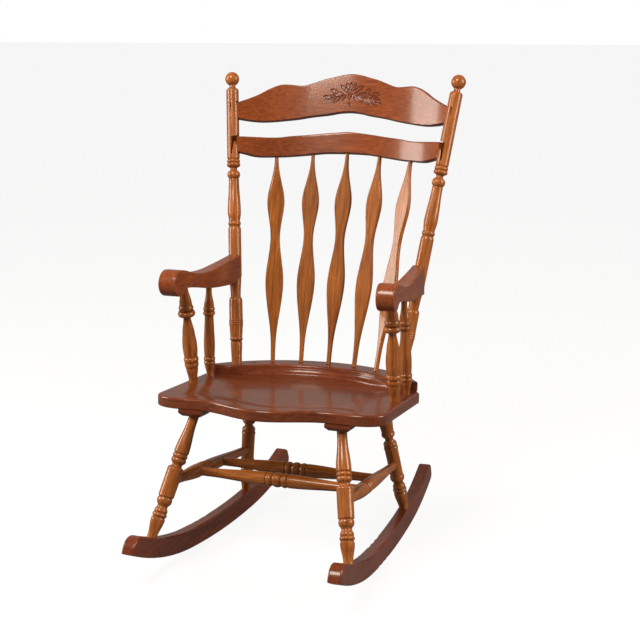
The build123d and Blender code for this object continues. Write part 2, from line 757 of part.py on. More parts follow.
in_seat = [post_piece, arm_post_piece, arm_spindle_piece, front_piece, rear_piece]
in_seat += [ledge_screw, *block_screws]
write("seat", cut_out(seat_plank(), *in_seat, *map(mirrored, in_seat)))
in_ledge = [post_piece, ledge_screw, ledge_bore]
write("seat_ledge", cut_out(seat_ledge(), *in_ledge, *map(mirrored, in_ledge), *spindles))

write_group("rocker_screws", [front_screw, rear_screw, mirrored(front_screw), mirrored(rear_screw)])
write_group("rocker_plugs", [front_plug, rear_plug, mirrored(front_plug), mirrored(rear_plug)])
write_group("ledge_screws", [ledge_screw, mirrored(ledge_screw)])
write_group("block_screws", block_screws + [mirrored(piece) for piece in block_screws])
write_group("arm_screws", [arm_screw, mirrored(arm_screw)])
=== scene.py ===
"""Turned rocking chair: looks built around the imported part.

The turned pieces, rockers, arrow spindles, blocks, plugs and screws keep their CAD shape and get
their finish here. The seat, its ledge, the two bowed back boards and the arms are remade with
rounded edges, the scooped seat, the moulded ledge and the carved leaf spray.
Metres, +Z up, the chair faces -Y.
"""
import math

import bpy
from mathutils import Matrix, Vector


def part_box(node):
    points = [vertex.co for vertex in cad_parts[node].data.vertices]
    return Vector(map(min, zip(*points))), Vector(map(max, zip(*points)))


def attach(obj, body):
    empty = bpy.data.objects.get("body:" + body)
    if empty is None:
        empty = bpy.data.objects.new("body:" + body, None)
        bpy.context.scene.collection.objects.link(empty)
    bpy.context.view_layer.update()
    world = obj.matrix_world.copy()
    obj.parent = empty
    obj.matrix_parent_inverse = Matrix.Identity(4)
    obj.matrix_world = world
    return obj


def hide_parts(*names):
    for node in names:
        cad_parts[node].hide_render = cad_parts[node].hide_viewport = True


bl_info = {
    "name": "Turned rocking chair",
    "version": (1, 0, 0),
    "blender": (4, 5, 0),
    "location": "View3D > Sidebar > Rocking chair",
    "description": "Builds the pieces of a turned wooden rocking chair around its packed part",
    "category": "Add Mesh",
}

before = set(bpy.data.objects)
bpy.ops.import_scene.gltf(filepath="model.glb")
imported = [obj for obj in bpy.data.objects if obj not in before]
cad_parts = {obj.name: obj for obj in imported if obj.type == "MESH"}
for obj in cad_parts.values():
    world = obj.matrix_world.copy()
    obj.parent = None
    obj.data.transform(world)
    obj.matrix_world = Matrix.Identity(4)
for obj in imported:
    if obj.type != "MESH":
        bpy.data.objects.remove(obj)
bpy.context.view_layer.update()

MM = 0.001
FORWARD = 8.2       # the sizes here lie this much behind the floor mark under the chair's box

# Seat plane: height at the middle and its fall towards the back.
SEAT_HEIGHT = 398.6
SEAT_DROP = 0.075
CURVE_CENTRE_Y = -66.6
RAIL_OUTER_RADIUS = 327.0
LEDGE_FRONT_Y = 97.0
LEDGE_INNER_RADIUS = 305.0
LEDGE_MIDDLE_Y = 188.0      # front face at the middle of the chair

# Back: the posts' line that the bowed boards follow.
POST_FOOT = (218.0, 136.0, 388.4)
POST_SPREAD = 0.1213
POST_LEAN = 0.293
BOARD_THICKNESS = 18.0
CREST_MIDDLE, CREST_BOW, CREST_REACH = 1070.0, 87.0, 292.0      # height, bow and half-length
LOWER_MIDDLE, LOWER_BOW, LOWER_REACH = 957.0, 94.0, 279.0

# Arms.
ARM_FRONT_X = 271.0
ARM_SCROLL = (-112.0, 669.0, 32.0)      # depth, height and radius of the rolled front
ARM_REAR_Y = 209.7
ARM_REAR_X = 248.5

TURNED = [
    "left_back_post", "right_back_post", "left_front_arm_post", "right_front_arm_post",
    "left_rear_arm_spindle", "right_rear_arm_spindle", "left_front_leg", "right_front_leg",
    "left_rear_leg", "right_rear_leg", "left_side_stretcher", "right_side_stretcher",
    "front_cross_stretcher", "rear_cross_stretcher",
]
SPINDLES = [f"arrow_spindle_{number}" for number in range(1, 6)]
ROCKERS = ["left_rocker", "right_rocker"]
SMALL_BOARDS = ["left_front_leg_block", "right_front_leg_block", "rocker_plugs"]
SCREWS = ["rocker_screws", "ledge_screws", "block_screws", "arm_screws"]


# ---------------------------------------------------------------- small tools
def linear(hex_colour):
    """sRGB hex to linear RGBA."""
    parts = [int(hex_colour[i:i + 2], 16) / 255 for i in (1, 3, 5)]
    return [c / 12.92 if c <= 0.04045 else ((c + 0.055) / 1.055) ** 2.4 for c in parts] + [1.0]


def clear_selection():
    if bpy.context.object and bpy.context.object.mode != "OBJECT":
        bpy.ops.object.mode_set(mode="OBJECT")
    bpy.ops.object.select_all(action="DESELECT")


def smoothstep(low, high, value):
    share = min(1.0, max(0.0, (value - low) / (high - low)))
    return share * share * (3 - 2 * share)


def through(points, value):
    """Height of a smooth line through (place, height) points, at a place."""
    if value <= points[0][0]:
        return points[0][1]
    for index in range(len(points) - 1):
        (x0, y0), (x1, y1) = points[index], points[index + 1]
        if value <= x1:
            before = points[index - 1] if index else (2 * x0 - x1, y0)
            after = points[index + 2] if index + 2 < len(points) else (2 * x1 - x0, y1)
            slope0 = (y1 - before[1]) / (x1 - before[0]) * (x1 - x0)
            slope1 = (after[1] - y0) / (after[0] - x0) * (x1 - x0)
            t = (value - x0) / (x1 - x0)
            return (
                (2 * t**3 - 3 * t**2 + 1) * y0 + (t**3 - 2 * t**2 + t) * slope0
                + (3 * t**2 - 2 * t**3) * y1 + (t**3 - t**2) * slope1
            )
    return points[-1][1]


def net(name, around, across, place):
    """A net of quads, each crossing put where place(u, v) says, in millimetres."""
    clear_selection()
    bpy.ops.mesh.primitive_grid_add(x_subdivisions=around, y_subdivisions=across, size=2)
    piece = bpy.context.object
    piece.name = name
    piece.data.name = name
    for vertex in piece.data.vertices:
        spot = place((vertex.co.x + 1) / 2, (vertex.co.y + 1) / 2)
        vertex.co = (Vector(spot) - Vector((0, FORWARD, 0))) * MM
    return piece


def close_up(piece, angle=40):
    """Joins the seam, fills the open ends, turns the faces outwards and smooths."""
    bpy.ops.object.mode_set(mode="EDIT")
    bpy.ops.mesh.select_all(action="SELECT")
    bpy.ops.mesh.remove_doubles(threshold=0.00002)
    bpy.ops.mesh.select_all(action="DESELECT")
    bpy.ops.mesh.select_mode(type="EDGE")
    bpy.ops.mesh.select_non_manifold(extend=False, use_multi_face=False, use_verts=False)
    bpy.ops.mesh.fill_holes(sides=0)
    bpy.ops.mesh.select_all(action="SELECT")
    bpy.ops.mesh.normals_make_consistent(inside=False)
    bpy.ops.mesh.select_mode(type="VERT")
    bpy.ops.object.mode_set(mode="OBJECT")
    bpy.ops.object.shade_smooth_by_angle(angle=math.radians(angle))


def mirrored_copy(piece, name):
    """A copy on the other side of the chair, with its own mesh."""
    other = piece.copy()
    other.data = piece.data.copy()
    other.name = name
    other.data.name = name
    bpy.context.scene.collection.objects.link(other)
    other.data.transform(Matrix.Scale(-1, 4, (1, 0, 0)))
    other.data.flip_normals()
    return other


def tie(piece, material, slot, *nodes):
    piece.data.materials.clear()
    piece.data.materials.append(material)
    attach(piece, "root")
    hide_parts(*nodes)


def finish_node(name, material):
    """Gives a CAD node its finish in its object's own material slots."""
    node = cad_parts[name]
    for place in node.material_slots:
        place.link = "OBJECT"
        place.material = material


# ---------------------------------------------------------------- finishes
def add_node(tree, kind, settings=None, **links):
    """Adds a node. Settings are its own values or its sockets' values, links come from sockets."""
    node = tree.nodes.new(kind)
    for key, value in (settings or {}).items():
        if hasattr(node, key) and key not in node.inputs:
            setattr(node, key, value)
        else:
            node.inputs[key].default_value = value
    for key, source in links.items():
        key = key.replace("_", " ") if key.replace("_", " ") in node.inputs else key
        tree.links.new(source, node.inputs[int(key[1:]) if key[1:].isdigit() else key])
    return node


def lacquered_wood(name, along, stain, depth=0.5, seed=0.0):
    """Stained rubberwood under gloss lacquer.

    A plain light hardwood, sprayed with a translucent brown stain that gathers in turned
    grooves and open pores, then lacquered: the eye gets long soft grain streaks, short dark
    pores, hollows and carved grooves darkened by painted shade that also stands for the stain
    gathered there, and sharp lights in a clear skin.
    """
    material = bpy.data.materials.new(name)
    material.use_nodes = True
    tree = material.node_tree
    tree.nodes.clear()
    turn = Vector((0, 0, 1)).rotation_difference(Vector(along).normalized()).to_euler()
    place = add_node(tree, "ShaderNodeTexCoord")

    def grain(width, length, detail, offset):
        """Noise whose grains are width across and length along the wood, in millimetres."""
        spread = add_node(
            tree, "ShaderNodeMapping",
            {"vector_type": "TEXTURE", "Rotation": turn, "Location": (offset + seed, seed, offset),
             "Scale": (width * MM, width * MM, length * MM)},
            Vector=place.outputs["Object"],
        )
        return add_node(
            tree, "ShaderNodeTexNoise", {"Scale": 1.0, "Detail": detail, "Roughness": 0.55},
            Vector=spread.outputs["Vector"],
        ).outputs["Fac"]

    streaks = grain(5.0, 90.0, 3.0, 0.0)        # annual rings cut lengthwise
    fine = grain(1.3, 30.0, 2.0, 0.31)          # fibres
    pores = grain(0.8, 9.0, 1.0, 0.67)          # open pores, drawn about twice their size
    patches = grain(70.0, 160.0, 2.0, 0.13)     # uneven take-up of the stain

    base = linear(stain)
    light = [min(1.0, c * f) for c, f in zip(base[:3], (1.38, 1.42, 1.45))] + [1]
    dark = [c * f for c, f in zip(base[:3], (0.62, 0.55, 0.5))] + [1]
    # Dark colour for the open pores, and for the painted shade in hollows and carved grooves.
    pore_and_shade_colour = [c * f for c, f in zip(base[:3], (0.26, 0.17, 0.14))] + [1]
    ramp = add_node(tree, "ShaderNodeMapRange",
                    {"From Min": 0.32, "From Max": 0.68, "To Min": 0.5 - depth, "To Max": 0.5 + depth},
                    Value=streaks)
    body = add_node(tree, "ShaderNodeMix", {"data_type": "RGBA"}, i0=ramp.outputs["Result"])
    body.inputs[6].default_value = dark
    body.inputs[7].default_value = light
    fibre = add_node(tree, "ShaderNodeMapRange",
                     {"From Min": 0.35, "From Max": 0.65, "To Min": 0.88, "To Max": 1.1}, Value=fine)
    patchy = add_node(tree, "ShaderNodeMapRange",
                      {"From Min": 0.3, "From Max": 0.7, "To Min": 0.86, "To Max": 1.12}, Value=patches)
    factor = add_node(tree, "ShaderNodeMath", {"operation": "MULTIPLY"},
                      i0=fibre.outputs["Result"], i1=patchy.outputs["Result"])
    toned = add_node(tree, "ShaderNodeVectorMath", {"operation": "SCALE"},
                     i0=body.outputs[2], Scale=factor.outputs["Value"])
    pore = add_node(tree, "ShaderNodeMapRange",
                    {"From Min": 0.64, "From Max": 0.74, "To Min": 0.0, "To Max": 0.45}, Value=pores)
    pored = add_node(tree, "ShaderNodeMix", {"data_type": "RGBA"}, i0=pore.outputs["Result"],
                     i6=toned.outputs["Vector"])
    pored.inputs[7].default_value = pore_and_shade_colour
    # Painted shade: ambient occlusion darkens the hollows of each piece, also standing in for the stain that
    # gathers in turned grooves.
    hollow = add_node(tree, "ShaderNodeAmbientOcclusion",
                      {"samples": 8, "only_local": True, "Distance": 11 * MM})
    hollow_shade_and_stain = add_node(tree, "ShaderNodeMapRange",
                        {"From Min": 0.5, "From Max": 0.93, "To Min": 0.95, "To Max": 0.0},
                        Value=hollow.outputs["AO"])
    # Painted shade, with the stain gathered there, along the crest's carved grooves and veins, read from the
    # mask the crest board writes.
    carved = add_node(tree, "ShaderNodeAttribute", {"attribute_name": "groove_shade_and_stain"})
    shade_and_stain = add_node(tree, "ShaderNodeMath", {"operation": "MAXIMUM"},
                    i0=hollow_shade_and_stain.outputs["Result"], i1=carved.outputs["Fac"])
    colour = add_node(tree, "ShaderNodeMix", {"data_type": "RGBA"}, i0=shade_and_stain.outputs["Value"],
                      i6=pored.outputs[2])
    colour.inputs[7].default_value = pore_and_shade_colour
    rough = add_node(tree, "ShaderNodeMapRange",
                     {"From Min": 0.3, "From Max": 0.7, "To Min": 0.3, "To Max": 0.42}, Value=fine)
    bump = add_node(tree, "ShaderNodeBump", {"Strength": 0.25, "Distance": 0.12 * MM}, Height=fine)
    shader = add_node(
        tree, "ShaderNodeBsdfPrincipled",
        {"IOR": 1.5, "Specular IOR Level": 0.15, "Coat Weight": 0.5, "Coat Roughness": 0.12, "Coat IOR": 1.5},
        Roughness=rough.outputs["Result"], Normal=bump.outputs["Normal"],
    )
    tree.links.new(colour.outputs[2], shader.inputs["Base Color"])
    add_node(tree, "ShaderNodeOutputMaterial", None, Surface=shader.outputs["BSDF"])
    return material


def zinc_steel():
    """Zinc-plated wood screws: dull bright metal with a faint drawn texture."""
    material = bpy.data.materials.new("zinc_plated_steel")
    material.use_nodes = True
    tree = material.node_tree
    tree.nodes.clear()
    place = add_node(tree, "ShaderNodeTexCoord")
    spread = add_node(tree, "ShaderNodeMapping",
                      {"vector_type": "TEXTURE", "Scale": (0.4 * MM, 0.4 * MM, 3 * MM)},
                      Vector=place.outputs["Object"])
    drawn = add_node(tree, "ShaderNodeTexNoise", {"Scale": 1.0, "Detail": 2.0},
                     Vector=spread.outputs["Vector"])
    rough = add_node(tree, "ShaderNodeMapRange", {"To Min": 0.22, "To Max": 0.42},
                     Value=drawn.outputs["Fac"])
    shader = add_node(tree, "ShaderNodeBsdfPrincipled",
                      {"Base Color": linear("#b9bbb8"), "Metallic": 1.0},
                      Roughness=rough.outputs["Result"])
    add_node(tree, "ShaderNodeOutputMaterial", None, Surface=shader.outputs["BSDF"])
    return material


# ---------------------------------------------------------------- seat and ledge
def on_seat(x, y, lift=0.0):
    """A point over the sloping seat: lift is measured square to it."""
    normal = Vector((0, SEAT_DROP, 1)).normalized()
    return Vector((x, y, SEAT_HEIGHT - SEAT_DROP * y)) + normal * lift


FRONT_LOBE, FRONT_NOTCH, FRONT_KNEE = (0, -261), (165, -212), (222, -215)
SIDE_X, CORNER_Y = 288.0, -169.0


def seat_half_outline():
    """The right half of the seat's edge from the middle of the front to that of the back."""
    line = []
    for (x0, y0), (x1, y1) in ((FRONT_LOBE, FRONT_NOTCH), (FRONT_NOTCH, FRONT_KNEE)):
        steps = 40 if x0 == 0 else 18
        for step in range(steps):
            t = step / steps
            line.append((x0 + (x1 - x0) * t, y0 + (y1 - y0) * (1 - math.cos(math.pi * t)) / 2))
    for step in range(20):
        a = math.pi / 2 * step / 20
        line.append((FRONT_KNEE[0] + (SIDE_X - FRONT_KNEE[0]) * math.sin(a),
                     CORNER_Y - (CORNER_Y - FRONT_KNEE[1]) * math.cos(a)))
    side_end = CURVE_CENTRE_Y + math.sqrt(RAIL_OUTER_RADIUS**2 - SIDE_X**2)
    for step in range(24):
        line.append((SIDE_X, CORNER_Y + (side_end - CORNER_Y) * step / 24))
    first = math.asin(SIDE_X / RAIL_OUTER_RADIUS)
    for step in range(50):
        a = first * (1 - step / 50)
        line.append((RAIL_OUTER_RADIUS * math.sin(a), CURVE_CENTRE_Y + RAIL_OUTER_RADIUS * math.cos(a)))
    line.append((0.0, CURVE_CENTRE_Y + RAIL_OUTER_RADIUS))
    return line


def closed_outline(half):
    """Both halves as one closed loop with inward normals."""
    loop = half + [(-x, y) for x, y in reversed(half[1:-1])]
    count = len(loop)
    normals = []
    for index in range(count):
        (x0, y0), (x1, y1) = loop[index - 1], loop[(index + 1) % count]
        run = Vector((x1 - x0, y1 - y0)).normalized()
        normals.append(Vector((-run.y, run.x)))
    return loop, normals


def scoop(x, y):
    """Depth of the hollow worked into the seat for the sitter."""
    away = math.atan2(abs(x), y - CURVE_CENTRE_Y)
    back = ledge_radius(away) - 12.0 - math.hypot(x, y - CURVE_CENTRE_Y) if away < 1.2 else 1e3
    side = 236.0 - abs(x)
    front_edge = through([(0, -261), (80, -239), (165, -212), (222, -215), (288, -190)], abs(x))
    front = y - front_edge - 26.0
    inside = min(side, front, back + 30)
    return 9.5 * smoothstep(0, 78, inside)


def seat_board(looks):
    loop, normals = closed_outline(seat_half_outline())
    count = len(loop)
    upper, lower, thickness = 6.0, 3.0, 27.0
    section = [(0.0, -thickness, 1.0)]                  # inset, height, share of the way out
    section += [(lower, -thickness, share) for share in (0.6, 0.2, 0.0)]
    section += [(lower * (1 - math.sin(a)), -thickness + lower * (1 - math.cos(a)), 0.0)
                for a in (math.pi / 8 * k for k in range(1, 5))]
    section += [(upper * (1 - math.cos(a)), -upper + upper * math.sin(a), 0.0)
                for a in (math.pi / 12 * k for k in range(0, 7))]
    section += [(upper, 0.0, (ring / 56) ** 1.05) for ring in range(1, 57)]
    middle = Vector((0.0, -20.0))

    def place(u, v):
        index = round(u * count) % count
        inset, height, share = section[round(v * (len(section) - 1))]
        spot = Vector(loop[index]) + normals[index] * inset
        spot = spot.lerp(middle, share)
        sunk = scoop(spot.x, spot.y) if height == 0.0 else 0.0
        return on_seat(spot.x, spot.y, height - sunk)

    piece = net("seat_board", count, len(section) - 1, place)
    close_up(piece, 50)
    wood = lacquered_wood("seat_rubberwood", (1, 0, 0), looks.seat_stain, 0.38, 0.2)
    tie(piece, wood, "board_wood", "seat")


LEDGE_EASE = 9.0        # how widely the ledge's front arc and its straight ends run into each other


def ledge_radius(angle):
    """How far out the ledge's front edge lies: an arc that eases into a straight front."""
    offset = LEDGE_MIDDLE_Y - LEDGE_INNER_RADIUS - CURVE_CENTRE_Y
    arc = offset * math.cos(angle) + math.sqrt(LEDGE_INNER_RADIUS**2 - (offset * math.sin(angle)) ** 2)
    straight = (LEDGE_FRONT_Y - CURVE_CENTRE_Y) / max(0.2, math.cos(angle))
    return (arc + straight + math.hypot(arc - straight, LEDGE_EASE)) / 2


LEDGE_REACH = math.radians(58.4)
LEDGE_FADE = math.radians(35), math.radians(53)     # where the moulding starts to fade and is gone
LEDGE_HEIGHT = 23.0
SPINDLE_RADIUS = 297.6                      # the curve the spindles and the two screws stand on
SCREW_HOLE_ANGLE = math.radians(38.0)
SCREW_HOLE_RADIUS, SCREW_HOLE_DEPTH = 4.5, 13.0
# Its section in three runs of (how far out, height): from the outer edge, then from the front edge,
# then the moulding, which fades out towards the ends.
LEDGE_BACK = [(-0.5, 0.0), (0.0, 10.0), (-0.4, 19.5), (-1.7, 22.0), (-4.2, LEDGE_HEIGHT)]
LEDGE_LIP = [(5.4, LEDGE_HEIGHT), (3.4, 22.6), (1.8, 21.6), (0.7, 20.0), (0.2, 17.8), (0.0, 14.8)]
LEDGE_MOULD = [(0.9, 13.0), (2.6, 12.2), (3.3, 9.6), (4.9, 6.6), (7.5, 3.6), (10.1, 1.6), (11.6, -1.0),
               (11.6, -10.5)]


def ledge_rail(looks):
    count = len(LEDGE_BACK) + 3 + len(LEDGE_LIP) + len(LEDGE_MOULD) + 1

    def place(u, v):
        angle = LEDGE_REACH * (2 * u - 1)
        inner, outer = ledge_radius(angle), RAIL_OUTER_RADIUS
        swell = 1 - smoothstep(*LEDGE_FADE, abs(angle))
        ring = [(outer + away, lift) for away, lift in LEDGE_BACK]
        top_start, top_end = outer + LEDGE_BACK[-1][0], inner + LEDGE_LIP[0][0]
        ring += [(top_start + (top_end - top_start) * share, LEDGE_HEIGHT) for share in (0.25, 0.5, 0.75)]
        ring += [(inner + away, lift) for away, lift in LEDGE_LIP]
        ring += [(inner - away * swell, lift) for away, lift in LEDGE_MOULD]
        ring += [((inner + outer) / 2, -6.0)]
        radius, lift = ring[round(v * count) % count]
        return on_seat(radius * math.sin(angle), CURVE_CENTRE_Y + radius * math.cos(angle), lift)

    piece = net("ledge_rail", 160, count, place)
    close_up(piece, 34)
    for side in (-1, 1):
        angle = SCREW_HOLE_ANGLE * side
        clear_selection()
        spot = on_seat(
            SPINDLE_RADIUS * math.sin(angle), CURVE_CENTRE_Y + SPINDLE_RADIUS * math.cos(angle), LEDGE_HEIGHT,
        )
        spot.y -= FORWARD
        bpy.ops.mesh.primitive_cylinder_add(
            vertices=32, radius=SCREW_HOLE_RADIUS * MM, depth=SCREW_HOLE_DEPTH * MM, location=spot * MM,
            rotation=(-math.atan(SEAT_DROP), 0, 0),
        )
        drill = bpy.context.object
        cut = piece.modifiers.new("screw_hole", "BOOLEAN")
        cut.object = drill
        cut.operation = "DIFFERENCE"
        cut.solver = "EXACT"
        bpy.context.view_layer.objects.active = piece
        bpy.ops.object.modifier_apply(modifier=cut.name)
        bpy.data.objects.remove(drill)
    wood = lacquered_wood("ledge_rubberwood", (1, 0, 0), looks.board_stain, 0.35, 0.5)
    tie(piece, wood, "board_wood", "seat_ledge")


# ---------------------------------------------------------------- bowed back boards
def bowed_point(x, z, depth, middle, bow):
    """A point on a bent board: depth is measured backwards, square to its face."""
    rise = middle - POST_FOOT[2]
    half_chord = POST_FOOT[0] + POST_SPREAD * rise
    lean = math.atan(POST_LEAN)
    radius = (half_chord**2 + bow**2) / (2 * bow) * math.cos(lean)
    swing = math.asin(x / radius)
    sag = bow * math.cos(lean) - radius + radius * math.cos(swing)
    up = (z - middle + sag * math.sin(lean)) / math.cos(lean)
    out = sag + depth * math.cos(swing)
    y = POST_FOOT[1] + POST_LEAN * rise + up * math.sin(lean) + out * math.cos(lean)
    return Vector((x + depth * math.sin(swing), y, middle + up * math.cos(lean) - out * math.sin(lean)))


def board_columns(fine_reach, fine_step, coarse_step, end):
    """Places along half a board, close together where it is carved."""
    places = [k * fine_step for k in range(int(fine_reach / fine_step) + 1)]
    count = int((end - places[-1]) / coarse_step) + 1
    last = places[-1]
    places += [last + (end - last) * k / count for k in range(1, count + 1)]
    return [-x for x in reversed(places[1:])] + places


# Carved spray: each leaf is foot x, foot z, direction in degrees, length, half-width.
LEAVES = [
    (-22, 1083, 188, 30, 5.5), (-44, 1078, 200, 26, 5.0), (-30, 1076, 222, 24, 4.6),
    (-52, 1073, 172, 22, 4.4), (-14, 1079, 214, 22, 5.0), (-36, 1086, 160, 22, 4.6),
    (24, 1083, -6, 32, 5.6), (48, 1080, -14, 38, 6.0), (34, 1075, -40, 26, 5.0),
    (52, 1074, -32, 32, 5.2), (16, 1079, -30, 26, 5.4), (58, 1082, 10, 26, 4.8),
    (40, 1088, 28, 20, 4.6), (66, 1072, -22, 24, 4.4),
    (-8, 1088, 142, 24, 5.2), (8, 1088, 38, 26, 5.4),
    (-16, 1096, 150, 16, 4.4), (18, 1096, 30, 18, 4.6),
    (-5, 1094, 118, 18, 4.4), (5, 1094, 62, 18, 4.4), (0, 1093, 90, 19, 4.6),
    (0, 1086, 250, 18, 4.6), (4, 1084, 290, 15, 4.2), (-2, 1062, 262, 9, 3.0),
]
GROOVE_WIDTH = 1.3
GROOVE_DEPTH = 1.3


def carving(x, z):
    """(height, darkening) of the carved spray at a place on the crest board: the darkening is painted shade
    along the carved grooves and leaf veins, with the stain that gathers in them.
    """
    height, stain = 0.0, 0.0
    for foot_x, foot_z, heading, length, half_width in LEAVES:
        away_x, away_z = x - foot_x, z - foot_z
        if abs(away_x) > length + 8 or abs(away_z) > length + 8:
            continue
        a = math.radians(heading)
        along = (away_x * math.cos(a) + away_z * math.sin(a)) / length
        side = -away_x * math.sin(a) + away_z * math.cos(a)
        if not -0.05 < along < 1.05:
            continue
        inside = min(1.0, max(0.0, along))
        reach = half_width * math.sin(math.pi * inside ** 0.8) ** 0.75
        edge = reach - abs(side)
        if edge < -GROOVE_WIDTH:
            continue
        if edge < GROOVE_WIDTH:
            cut = 1 - abs(edge) / GROOVE_WIDTH
            # In the groove: painted shade, with the stain gathered there, darkens the colour.
            height, stain = -GROOVE_DEPTH * cut, max(stain * (edge < 0), min(1.0, 1.6 * cut))
        else:
            swell = 0.4 * (1 - (side / max(reach, 0.1)) ** 2)
            rib = max(0.0, 1 - abs(side) / 0.8) if 0.15 < along < 0.8 else 0.0
            # Along the vein: painted shade, with the stain gathered there, darkens the colour a little.
            height, stain = swell - 0.6 * rib, 0.35 * rib
    return height, stain


def bowed_board(name, columns, top, bottom, middle, bow, rows, relief=None):
    """A bent board with rounded edges, cut to its wavy outlines."""
    half, soft = BOARD_THICKNESS / 2, 3.0
    corner = [math.pi / 8 * k for k in range(5)]
    section = [("front", k / rows) for k in range(rows + 1)]
    section += [("upper", a) for a in corner] + [("back", 1 - k / 12) for k in range(13)]
    section += [("lower", a) for a in corner]
    count = len(section)

    def place(u, v):
        x = columns[round(u * (len(columns) - 1))]
        low, high = through(bottom, abs(x)), through(top, abs(x))
        kind, value = section[round(v * count) % count]
        if kind == "front":
            z = low + soft + (high - low - 2 * soft) * value
            return bowed_point(x, z, -half - (relief(x, z)[0] if relief else 0.0), middle, bow)
        if kind == "back":
            return bowed_point(x, low + soft + (high - low - 2 * soft) * value, half, middle, bow)
        across = -math.cos(value) if kind == "upper" else math.cos(value)
        out = soft * math.sin(value)
        base = high - soft if kind == "upper" else low + soft
        z = base + out if kind == "upper" else base - out
        inner = half - soft
        depth = inner * (1 if across > 0 else -1) + soft * across
        if abs(across) < 1e-6:
            depth = 0.0
        return bowed_point(x, z, depth, middle, bow)

    return net(name, len(columns) - 1, count, place)


def crest_board(looks):
    top = [(0, 1134.5), (26, 1131.5), (50, 1126), (78, 1119.5), (104, 1111), (128, 1104.5),
           (146, 1105), (170, 1107.5), (190, 1106.5), (217, 1096), (240, 1083), (275, 1069), (302, 1062)]
    bottom = [(0, 1037), (28, 1035), (56, 1030), (104, 1024), (134, 1019), (172, 1015), (205, 1012.5),
              (228, 1012.5), (256, 1016), (275, 1020), (300, 1026)]
    columns = board_columns(96, 0.8, 6.0, CREST_REACH)
    piece = bowed_board("crest_board", columns, top, bottom, CREST_MIDDLE, CREST_BOW, 118, carving)
    # Painted shade, with the stain gathered there, along the carved grooves and veins of the front face; the
    # finish reads it as a darkening mask.
    shade = piece.data.attributes.new("groove_shade_and_stain", "FLOAT", "POINT")
    values = []
    for vertex in piece.data.vertices:
        x, z = vertex.co.x / MM, vertex.co.z / MM
        flat = bowed_point(x, z, 0.0, CREST_MIDDLE, CREST_BOW)
        values.append(carving(x, z)[1] if vertex.co.y / MM < flat.y - FORWARD else 0.0)
    shade.data.foreach_set("value", values)
    close_up(piece, 60)
    wood = lacquered_wood("crest_rubberwood", (1, 0, 0), looks.crest_stain, 0.34, 0.9)
    tie(piece, wood, "board_wood", "crest_rail")


def lower_board(looks):
    top = [(0, 987), (54, 983), (110, 978), (157, 975), (182, 972.5), (210, 973), (240, 975.5), (284, 979)]
    bottom = [(0, 932), (60, 931), (100, 927), (152, 923), (187, 922.5), (231, 924.5), (262, 934), (284, 939)]
    columns = board_columns(0, 6.0, 6.0, LOWER_REACH)
    piece = bowed_board("lower_board", columns, top, bottom, LOWER_MIDDLE, LOWER_BOW, 14)
    close_up(piece, 60)
    wood = lacquered_wood("lower_board_rubberwood", (1, 0, 0), looks.crest_stain, 0.34, 1.7)
    tie(piece, wood, "board_wood", "lower_back_rail")


# ---------------------------------------------------------------- arms
ARM_TOP = [(-112, 701), (-88, 697), (-60, 688.5), (-21, 678), (20, 673), (60, 672), (110, 675),
           (160, 679), (212, 683)]
ARM_UNDER = [(-74, 650.5), (-60, 649), (-20, 641), (25, 631), (81, 622), (134, 616.5), (212, 610)]


def arm_outline():
    """The arm's edge seen from the side: (depth, height) once round."""
    y0, z0, radius = ARM_SCROLL
    line = [(y0 + radius * math.cos(a), z0 + radius * math.sin(a))
            for a in (math.radians(90 + 230 * k / 46) for k in range(47))]
    line += [(-84.5, 648.0), (-79.5, 650.0)]
    steps = 56
    for k in range(steps + 1):
        y = ARM_UNDER[0][0] + (ARM_REAR_Y - ARM_UNDER[0][0]) * k / steps
        line.append((y, through(ARM_UNDER, y)))
    for k in range(1, 8):
        low, high = through(ARM_UNDER, ARM_REAR_Y), through(ARM_TOP, ARM_REAR_Y)
        line.append((ARM_REAR_Y, low + (high - low) * k / 8))
    steps = 64
    for k in range(steps):
        y = ARM_REAR_Y + (ARM_SCROLL[0] - ARM_REAR_Y) * k / steps
        line.append((y, through(ARM_TOP, y)))
    return line


def arm_pair(looks):
    line = arm_outline()
    count = len(line)
    inward = []
    for index in range(count):
        (y0, z0), (y1, z1) = line[index - 1], line[(index + 1) % count]
        run = Vector((y1 - y0, z1 - z0)).normalized()
        inward.append(Vector((-run.y, run.x)))
    soft = 3.5
    turns = [math.pi / 8 * k for k in range(5)]
    section = [(soft * (1 - math.cos(a)), -1, soft * (1 - math.sin(a))) for a in reversed(turns)]
    section += [(0.0, 0, share) for share in (-0.6, -0.2, 0.2, 0.6)]
    section += [(soft * (1 - math.cos(a)), 1, soft * (1 - math.sin(a))) for a in turns]

    def place(u, v):
        index = round(u * count) % count
        inset, side, short = section[round(v * (len(section) - 1))]
        y, z = Vector(line[index]) + inward[index] * inset
        back = smoothstep(-80, ARM_REAR_Y, y)
        half = 22.0 - 6.0 * back
        across = side * (half - short) if side else short * (half - soft)
        middle = ARM_FRONT_X + (ARM_REAR_X - ARM_FRONT_X) * (y - ARM_SCROLL[0]) / (ARM_REAR_Y - ARM_SCROLL[0])
        return (middle + across, y, z)

    piece = net("right_arm", count, len(section) - 1, place)
    close_up(piece, 50)
    other = mirrored_copy(piece, "left_arm")
    wood = lacquered_wood("arm_rubberwood", (0.05, -1, 0.12), looks.arm_stain, 0.34, 2.3)
    tie(piece, wood, "board_wood", "right_armrest")
    tie(other, wood, "board_wood", "left_armrest")


